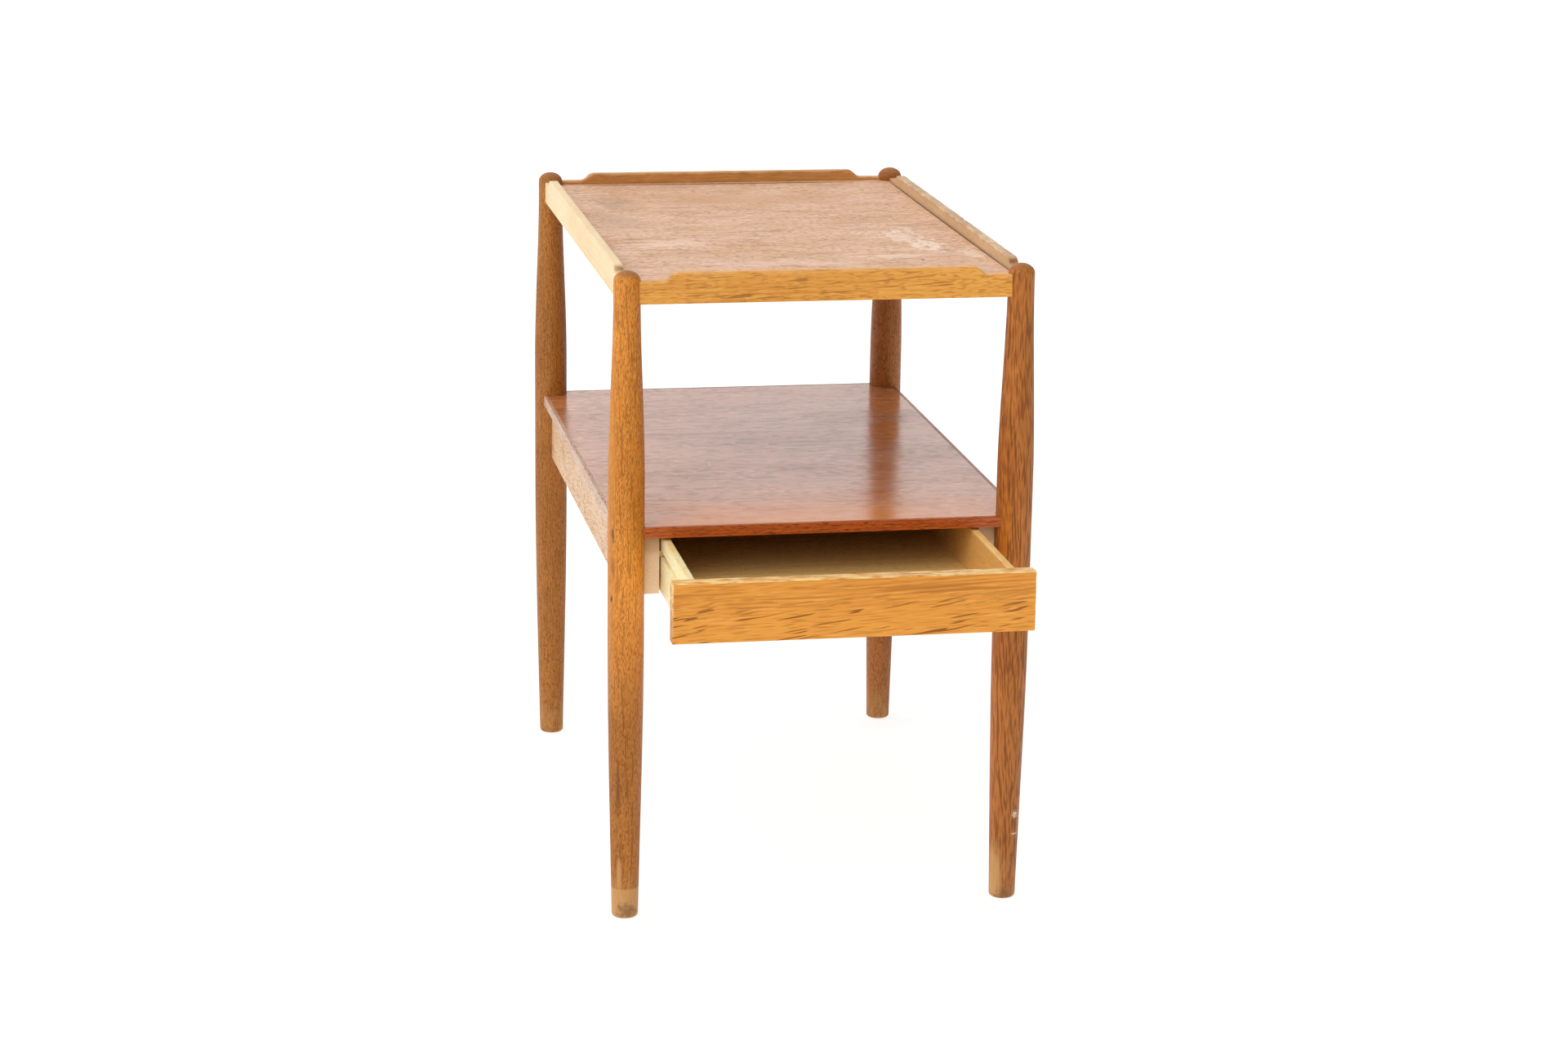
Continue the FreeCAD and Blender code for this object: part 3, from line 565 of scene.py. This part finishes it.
finished(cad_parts["tray_face_veneer"], wood(
    "tray_teak", "x", pith=(-0.9, -0.30), seed=61.0, light=rgb(230, 184, 146), dark=rgb(186, 132, 90),
    pore=rgb(142, 100, 76), end=rgb(150, 112, 88), ring_gap=0.011, ring_share=0.12, fibre_share=0.4,
    dashes=((0.006, 0.0034, 0, 0.52, 0.68, 0.4, None), (0.040, 0.0040, 0, 0.60, 0.72, 0.35, None)),
    flecks=((0.005, 0.0030, 0.55, 0.68, 0.5, rgb(244, 214, 194)), (0.014, 0.0070, 0.60, 0.70, 0.3, chalk)),
    gloss=(0.5, 0.72), cloud=0.4, cloud_size=0.035, cloud_colour=rgb(226, 182, 154), relief=0.7,
    marks=lying(tray_top, (
        ((0.116, 0.010), (0.022, 0.044), chalk, 0.45, 5.0, 0.3),
        ((0.130, -0.040), (0.018, 0.032), chalk, 0.75, 5.0, 0.3),
        ((0.085, -0.095), (0.034, 0.014), chalk, 0.45, 5.0, 0.3),
        ((0.160, -0.090), (0.014, 0.026), chalk, 0.4, 5.0, 0.3),
        ((0.1085, -0.1154), (0.0024, 0.0040), rgb(104, 60, 40), 0.9, 0.8, 0.3),
        ((-0.130, 0.220), (0.030, 0.050), rgb(166, 134, 112), 0.6, 2.6, 0.1),
        ((-0.137, 0.120), (0.030, 0.060), rgb(186, 154, 132), 0.5, 2.6, 0.1),
        ((-0.018, 0.235), (0.170, 0.070), rgb(204, 150, 106), 0.6, 1.6, 0.1),
        ((-0.110, -0.008), (0.040, 0.026), rgb(242, 208, 184), 0.5, 4.0, 0.5),
        ((-0.025, -0.120), (0.070, 0.016), rgb(240, 206, 190), 0.45, 4.0, 0.5),
        # The three thin dark lines where the panel meets the rails are the joint, darkened further with
        # painted shade in the crease.
        ((0.1744, 0.0687), (0.0015, 0.30), rgb(70, 44, 30), 0.9, 0.2, 0.75),
        ((-0.1744, 0.0687), (0.0014, 0.30), rgb(110, 72, 50), 0.7, 0.3, 0.6),
        ((0.0, 0.3322), (0.20, 0.0040), rgb(104, 66, 44), 0.8, 0.4, 0.5),
    )),
))

# The panel's core and both backings are plain pale veneer and softwood,
# seen only from underneath and at the edges.
backing = dict(pore=rgb(120, 84, 52), end=rgb(140, 104, 70), ring_gap=0.006, ring_share=0.4,
               fibre_share=0.4, dashes=((0.008, 0.001, 0, 0.56, 0.68, 0.5, None),), gloss=(0.6, 0.8))
finished(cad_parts["tray_backing_veneer"], wood(
    "tray_backing", "x", pith=(-0.7, -0.50), seed=67.0,
    light=rgb(196, 158, 120), dark=rgb(150, 112, 78), **backing))
finished(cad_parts["shelf_backing_veneer"], wood(
    "shelf_backing", "x", pith=(-0.6, -0.30), seed=71.0,
    light=rgb(170, 124, 82), dark=rgb(126, 86, 54), **backing))
for name, seed in (("tray_panel_core", 73.0), ("shelf_core", 79.0)):
    finished(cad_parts[name], wood(
        name + "_softwood", "x", pith=(-0.5, -0.40), seed=seed,
        light=rgb(190, 150, 104), dark=rgb(150, 108, 68), **backing))


# ---- the shelf ------------------------------------------------------------
# A thin teak-faced board with its grain across the table, still oiled and
# half glossy, with redder solid lippings all round, notched for the legs.
shelf_top = 0.3685
finished(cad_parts["shelf_face_veneer"], wood(
    "shelf_teak", "x", pith=(-0.8, -0.10), seed=83.0, light=rgb(206, 132, 82), dark=rgb(144, 82, 46),
    pore=rgb(84, 48, 30), end=rgb(110, 70, 46), ring_gap=0.014, ring_share=0.2, fibre_share=0.45,
    dashes=((0.010, 0.0060, 0, 0.50, 0.70, 0.35, None), (0.060, 0.0070, 0, 0.58, 0.72, 0.35, None)),
    flecks=((0.010, 0.0060, 0.54, 0.70, 0.45, rgb(234, 176, 130)),),
    gloss=(0.15, 0.25), shine=1.05, cloud=0.35, cloud_size=0.06, relief=0.25,
    marks=lying(shelf_top, (
        ((-0.060, -0.002), (0.013, 0.0016), rgb(222, 200, 186), 0.6, 1.6, 0.2),
        ((-0.066, 0.012), (0.0016, 0.014), rgb(214, 188, 170), 0.5, 1.6, 0.2),
        ((0.000, -0.215), (0.320, 0.150), rgb(224, 134, 40), 0.74, 1.6, 0.0),
        ((0.020, -0.120), (0.066, 0.012), rgb(210, 110, 26), 0.6, 0.8, 0.1),
        ((0.062, -0.112), (0.034, 0.014), rgb(176, 80, 16), 0.65, 0.8, 0.1),
    )),
    matt=((0.000, -0.215, shelf_top), (0.320, 0.150, 0.10), 0.4),
))
lipping = dict(pore=rgb(84, 34, 12), end=rgb(104, 46, 20), ring_gap=0.003, ring_share=0.35, fibre_share=0.4,
               dashes=((0.006, 0.0008, 0, 0.54, 0.66, 0.6, None),), gloss=(0.32, 0.46), shine=0.5)
# The lippings are painted as lit and shaded copies of one teak: the left one pale, a painted highlight on
# its lit outer face, and the back and right ones darker, painted shade.
for name, along, seed, light, dark in (
    ("shelf_lipping_front", "x", 89.0, rgb(206, 102, 28), rgb(144, 60, 12)),
    ("shelf_lipping_back", "x", 97.0, rgb(168, 92, 46), rgb(116, 58, 28)),
    ("shelf_lipping_left", "y", 101.0, rgb(212, 174, 146), rgb(174, 130, 102)),
    ("shelf_lipping_right", "y", 103.0, rgb(170, 104, 66), rgb(120, 66, 38)),
):
    finished(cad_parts[name], wood(
        name + "_teak", along, pith=(-0.34, -0.31), seed=seed, light=light, dark=dark, **lipping))


# ---- the aprons under the shelf -------------------------------------------
# Oak boards coped to the round legs, the side ones dowelled to them and the
# rear one tenoned.  The dowels are beech and show nowhere outside.
apron_pores = ((0.004, 0.0008, 0, 0.54, 0.66, 0.5, None), (0.012, 0.0011, 0.04, 0.60, 0.68, 0.7, None))
apron_look = dict(pore=rgb(130, 80, 40), end=rgb(156, 100, 52), ring_gap=0.0042, ring_share=0.3,
                  dashes=apron_pores, gloss=(0.38, 0.54), shine=0.4)
# The left apron is painted paler than the others, a painted highlight on its lit outer face.
for name, along, pith, seed, light, dark in (
    ("side_apron_left", "y", (0.21, -0.40), 107.0, rgb(230, 190, 148), rgb(200, 156, 114)),
    ("side_apron_right", "y", (-0.2, -0.39), 109.0, rgb(208, 156, 102), rgb(174, 120, 70)),
    ("rear_apron", "x", (0.38, -0.42), 113.0, rgb(214, 156, 92), rgb(178, 118, 58)),
):
    finished(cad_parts[name], wood(
        name + "_oak", along, pith=pith, seed=seed, light=light, dark=dark, **apron_look))


# ---- the drawer's runners -------------------------------------------------
# A pale birch board behind each side apron, left bare, with a beech tongue
# let into it for the drawer to slide on and slotted steel screws through it.
for name, seed, end_x in (("runner_board_left", 127.0, -0.154), ("runner_board_right", 131.0, 0.154)):
    # A darker band at the top of each runner's front end, just under the shelf, is the painted shadow of the
    # shelf.
    shelf_shadow_mark = ((end_x, -0.2012, 0.352), (0.02, 0.004, 0.014), rgb(202, 160, 116), 0.6, 0.5, 0.5)
    finished(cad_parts[name], wood(
        name + "_birch", "y", pith=(0.4, -0.36), seed=seed,
        light=rgb(244, 218, 180), dark=rgb(214, 182, 142), pore=rgb(170, 134, 94),
        end=rgb(240, 212, 176), ring_gap=0.004, ring_share=0.3, fibre_share=0.4,
        dashes=((0.003, 0.0007, 0, 0.56, 0.68, 0.35, None),), gloss=(0.6, 0.78), marks=(shelf_shadow_mark,)))
for name, along in (
    ("runner_tongue_left", "y"), ("runner_tongue_right", "y"),
    ("apron_dowels", "y"), ("shelf_glue_blocks", "x"),
):
    finished(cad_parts[name], wood(
        name + "_beech", along, pith=(0.3, -0.30), seed=137.0,
        light=rgb(222, 184, 140), dark=rgb(188, 142, 96), pore=rgb(150, 104, 66),
        end=rgb(210, 176, 130), ring_gap=0.0035, ring_share=0.3,
        dashes=((0.0025, 0.0006, 0, 0.54, 0.66, 0.5, None),), gloss=(0.45, 0.6)))


def dull_steel(name, tone, seed):
    """Old steel: brushed noise, brown tarnish in patches, and fine scratches in the bump."""
    material = bpy.data.materials.new(name)
    material.use_nodes = True
    tree = material.node_tree
    tree.nodes.clear()
    place = node(tree, "TexCoord").outputs["Object"]
    brushed = stretched(tree, place, (900, 900, 3000), 3.0, 0.7, seed)
    tarnish = step_up(tree, stretched(tree, place, (260, 260, 260), 4.0, 0.7, seed + 2), 0.45, 0.7)
    colour = tinted(tree, brushed, tone, rgb(96, 92, 88))
    colour = tinted(tree, maths(tree, "MULTIPLY", tarnish, 0.7), colour, rgb(92, 64, 44))
    dull = maths(tree, "MULTIPLY_ADD", tarnish, 0.3, 0.35)
    raised = node(tree, "Bump", {"Height": brushed, "Strength": 0.3, "Distance": 0.00005})
    shader = node(tree, "BsdfPrincipled", {
        "Base Color": colour, "Roughness": dull, "Metallic": 1.0, "Normal": raised.outputs[0]})
    out = node(tree, "OutputMaterial")
    tree.links.new(shader.outputs[0], out.inputs["Surface"])
    return material


finished(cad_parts["runner_screws"], dull_steel("screw_steel", rgb(176, 174, 170), 3.0))


# ---- the drawer's front ---------------------------------------------------
# One oak board with its face edges just rounded over, quartered and striped
# above, turning to slanting open pores below.  It has no handle.
front_round = 0.0010
front_edge_break = 0.0003
front_corner = 0.0008
# A band this deep along the top edge carries a painted highlight where the light catches it.
front_lit_edge = 0.003


def board_outline(low, high, radius, points=6):
    """Round a rectangle, corner by corner: corner centre plus radius x (cos, sin)."""
    radius = np.maximum(radius, 1e-5)
    turn = np.linspace(0, np.pi / 2, points)
    corners = ((1, 1, 0), (-1, 1, 1), (-1, -1, 2), (1, -1, 3))
    xs, zs = [], []
    for across, up, quarter in corners:
        angle = turn + quarter * np.pi / 2
        corner_x = high[0] - radius if across > 0 else low[0] + radius
        corner_z = high[1] - radius if up > 0 else low[1] + radius
        xs.append(corner_x + radius * np.cos(angle))
        zs.append(corner_z + radius * np.sin(angle))
    return np.concatenate(xs, -1), np.concatenate(zs, -1)


def drawer_front_board(name):
    """Rounded rectangles stacked from back to face, drawn in by a quarter circle at the face."""
    low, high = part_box("drawer_front")
    turn = np.linspace(0, np.pi / 2, 8)
    back = np.array((front_edge_break, 0.0, 0.0))
    inset = np.concatenate((back, front_round * (1 - np.cos(turn))))
    depth = np.concatenate((
        np.array((high.y, high.y - front_edge_break, high.y - 0.006)),
        low.y + front_round - front_round * np.sin(turn),
    ))
    inset = inset[:, None]
    corner = np.maximum(front_corner - inset * 0.3, 0.0005)
    x, z = board_outline(
        (low.x + inset, low.z + inset), (high.x - inset, high.z - inset), corner)
    y = np.broadcast_to(depth[:, None], x.shape)
    # The band along the top edge is masked for the painted highlight.
    wear_and_light_share = np.where(z > high.z - front_lit_edge, 0.9, 0.0)
    wear_and_light_share[-1] = 0.0
    return rings_to_mesh(name, np.stack((x, y, z), -1), wear_and_light_share)


front_board = drawer_front_board("drawer_front_board")
finished(front_board, wood(
    "drawer_front_oak", "x", pith=(-0.9, -0.62), seed=151.0, light=rgb(234, 156, 54), dark=rgb(184, 110, 31),
    pore=rgb(124, 66, 16), end=rgb(186, 118, 50), ring_gap=0.0034, ring_share=0.46, ring_zone=(0.320, 0.336),
    fibre_share=0.4, lean=(0.0, 0.030), cloud=0.2,
    dashes=(
        (0.020, 0.0013, 0.04, 0.54, 0.70, 0.30, None),
        (0.090, 0.0024, 0.026, 0.57, 0.68, 0.38, (0.326, 0.345)),
        (0.060, 0.0020, 0.17, 0.65, 0.71, 0.8, (0.352, 0.325)),
    ),
    flecks=((0.060, 0.0022, 0.56, 0.70, 0.35, rgb(250, 186, 96)),),
    # The pale colour on the top band is a painted highlight.
    gloss=(0.36, 0.5), shine=0.4, wear_and_edge_light=(rgb(255, 224, 156), 1.0),
))
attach(front_board, "drawer")
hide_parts("drawer_front")


# ---- the drawer's sides ---------------------------------------------------
# Pale lacquered birch with rounded top edges and a groove in the outer face
# that runs on the tongue.  They are let into the back of the front.  The two
# sides are painted as lit and shaded copies of one birch: the left one paler,
# a painted highlight on its lit outer face, and the right one, seen from
# inside, warmer and darker, painted shade, with a painted highlight on its
# top edge.
side_thick = 0.0075
groove_deep = 0.0053
groove_gap = 0.0004
side_round = 0.0022
side_bevel = 0.0003
side_stations = 60
tongue_low, tongue_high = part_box("runner_tongue_left")
groove_low_z = tongue_low.z - groove_gap
groove_high_z = tongue_high.z + groove_gap


def drawer_side(name, source, outward):
    """A section carried from front to back: outer face with its groove, round top, inner face."""
    low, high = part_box(source)
    outer = low.x if outward < 0 else high.x
    floor = outer - outward * groove_deep
    inner = outer - outward * side_thick
    turn = np.linspace(0, np.pi / 2, 8)
    r = side_round
    bevel = side_bevel
    eased = outer - outward * bevel
    x = np.concatenate((
        np.array((inner + outward * bevel, eased, outer, outer, eased, floor, floor, eased, outer, outer)),
        outer - outward * r * (1 - np.cos(turn)),
        inner + outward * r * 0.5 * (1 - np.sin(turn)),
        np.array((inner, inner)),
    ))
    z = np.concatenate((
        np.array((low.z, low.z, low.z + bevel, groove_low_z - bevel, groove_low_z, groove_low_z,
                  groove_high_z, groove_high_z, groove_high_z + bevel, high.z - 1.5 * r)),
        high.z - r * (1 - np.sin(turn)),
        high.z - r * 0.5 * (1 - np.cos(turn)),
        np.array((high.z - 1.5 * r, low.z + bevel)),
    ))
    y = np.linspace(low.y, high.y, side_stations)[:, None]
    y = np.broadcast_to(y, (side_stations, x.size))
    rings = np.stack((np.broadcast_to(x, y.shape), y, np.broadcast_to(z, y.shape)), -1)
    # The rounded top is masked for its own tone, on the right side a painted highlight.
    wear_and_light_share = np.broadcast_to(np.where(z > high.z - r, 0.8, 0.0), y.shape)
    if outward > 0:
        rings, wear_and_light_share = rings[:, ::-1], wear_and_light_share[:, ::-1]
    return rings_to_mesh(name, rings, wear_and_light_share)


# Per side: outward, seed, light and dark tones and the top edge's tone.  The left side's pale tones are a
# painted highlight and the right side's warm darker ones painted shade; the right side's top edge tone is a
# painted highlight.
side_looks = {
    "drawer_side_left": (-1, 163, rgb(255, 250, 208), rgb(246, 226, 160), rgb(252, 214, 116)),
    "drawer_side_right": (1, 167, rgb(244, 196, 116), rgb(225, 165, 80), rgb(255, 220, 144)),
}
for name, (outward, seed, light, dark, edge) in side_looks.items():
    side = drawer_side(name + "_grooved", name, outward)
    finished(side, wood(
        name + "_birch", "y", pith=(0.5, -0.33), seed=float(seed), light=light, dark=dark,
        pore=rgb(190, 146, 80), end=rgb(220, 180, 110), ring_gap=0.006, ring_share=0.3, fibre_share=0.3,
        dashes=((0.010, 0.0012, 0, 0.56, 0.68, 0.3, None),), gloss=(0.34, 0.46), relief=0.25,
        wear_and_edge_light=(edge, 0.75)))
    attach(side, "drawer")
    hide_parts(name)


# ---- the drawer's back and bottom -----------------------------------------
# The back is the same birch; the bottom is thin ply in grooves, tacked up to
# the back with small round-headed tacks.
# The back is painted much lighter than the birch is, to stand in for light falling into the drawer: painted
# light.
finished(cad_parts["drawer_back"], wood(
    "drawer_back_birch", "x", pith=(0.5, -0.33), seed=173.0,
    light=rgb(246, 218, 158), dark=rgb(222, 184, 116), pore=rgb(180, 134, 70),
    end=rgb(214, 172, 104), ring_gap=0.006, ring_share=0.3,
    dashes=((0.004, 0.0008, 0, 0.56, 0.68, 0.3, None),), gloss=(0.4, 0.55)))
# The bottom too is painted much lighter than the ply is, to stand in for light falling on it: painted light.
finished(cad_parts["drawer_bottom"], wood(
    "drawer_bottom_ply", "x", pith=(-0.7, -0.28), seed=179.0,
    light=rgb(255, 220, 142), dark=rgb(240, 188, 112), pore=rgb(146, 100, 56),
    end=rgb(186, 142, 92), ring_gap=0.012, ring_share=0.35, fibre_share=0.4,
    dashes=((0.006, 0.0009, 0, 0.56, 0.68, 0.35, None),), gloss=(0.5, 0.66)))
finished(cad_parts["drawer_bottom_tacks"], dull_steel("tack_steel", rgb(160, 156, 150), 7.0))


# ---- floor, light and camera ----------------------------------------------
# A plain white floor, an open sky that is brighter behind and on the left, and
# one broad soft lamp high on the front left.
floor_reach = 8
floor_corners = [(x * floor_reach, y * floor_reach, 0) for x, y in ((-1, -1), (1, -1), (1, 1), (-1, 1))]
floor_mesh = bpy.data.meshes.new("floor")
floor_mesh.from_pydata(floor_corners, [], [(0, 1, 2, 3)])
floor = bpy.data.objects.new("floor", floor_mesh)
bpy.context.scene.collection.objects.link(floor)
paint = bpy.data.materials.new("floor_paint")
paint.use_nodes = True
tree = paint.node_tree
tree.nodes.clear()
shader = node(tree, "BsdfPrincipled", {
    "Base Color": (0.4, 0.4, 0.4, 1), "Roughness": 0.9, "Specular IOR Level": 0.0,
    "Emission Color": (1, 1, 1, 1), "Emission Strength": 0.74})
tree.links.new(shader.outputs[0], node(tree, "OutputMaterial").inputs["Surface"])
finished(floor, paint)

sky_lean = (-0.33, 0.50, 0.0)
sky_middle = 0.74
sky_least = 0.2
lamp_strength = 1.35
lamp_breadth = np.radians(55)
lamp_colour = (1.0, 0.98, 0.94)
lamp_toward = Vector((0.45, 0.85, -0.85))
camera_place = Vector((-0.60832, -3.18904, 1.16067))
camera_turns = np.radians((10.8875, 14.6425, 0.8893))
sky = bpy.data.worlds.new("sky")
sky.use_nodes = True
bpy.context.scene.world = sky
tree = sky.node_tree
tree.nodes.clear()
way = node(tree, "TexCoord").outputs["Generated"]
lean = node(tree, "VectorMath", {0: way, 1: sky_lean}, operation="DOT_PRODUCT").outputs["Value"]
glow = maths(tree, "MAXIMUM", maths(tree, "ADD", lean, sky_middle), sky_least)
lit = node(tree, "Background", {"Strength": glow, "Color": (1, 1, 1, 1)})
plain = node(tree, "Background", {"Strength": 1.0, "Color": (1, 1, 1, 1)})
seen = node(tree, "LightPath").outputs["Is Camera Ray"]
both = node(tree, "MixShader", {0: seen, 1: lit.outputs[0], 2: plain.outputs[0]})
tree.links.new(both.outputs[0], node(tree, "OutputWorld").inputs["Surface"])

sun_data = bpy.data.lights.new("soft_lamp", "SUN")
sun_data.energy = lamp_strength
sun_data.angle = lamp_breadth
sun_data.color = lamp_colour
sun = bpy.data.objects.new("soft_lamp", sun_data)
bpy.context.scene.collection.objects.link(sun)
sun.rotation_mode = "QUATERNION"
sun.rotation_quaternion = lamp_toward.to_track_quat("-Z", "Y")

camera_data = bpy.data.cameras.new("camera")
camera_data.lens = 80.16
camera_data.sensor_width = 36
camera = bpy.data.objects.new("camera", camera_data)
bpy.context.scene.collection.objects.link(camera)
yaw, pitch, roll = camera_turns
ahead = Vector((np.sin(yaw) * np.cos(pitch), np.cos(yaw) * np.cos(pitch), -np.sin(pitch)))
level = Vector((np.cos(yaw), -np.sin(yaw), 0))
raised = level.cross(ahead)
right = level * np.cos(roll) + raised * np.sin(roll)
up = raised * np.cos(roll) - level * np.sin(roll)
aim = Matrix((right, up, -ahead)).transposed().to_4x4()
aim.translation = camera_place
camera.matrix_world = aim
bpy.context.scene.camera = camera
bpy.context.scene.view_settings.view_transform = "Standard"
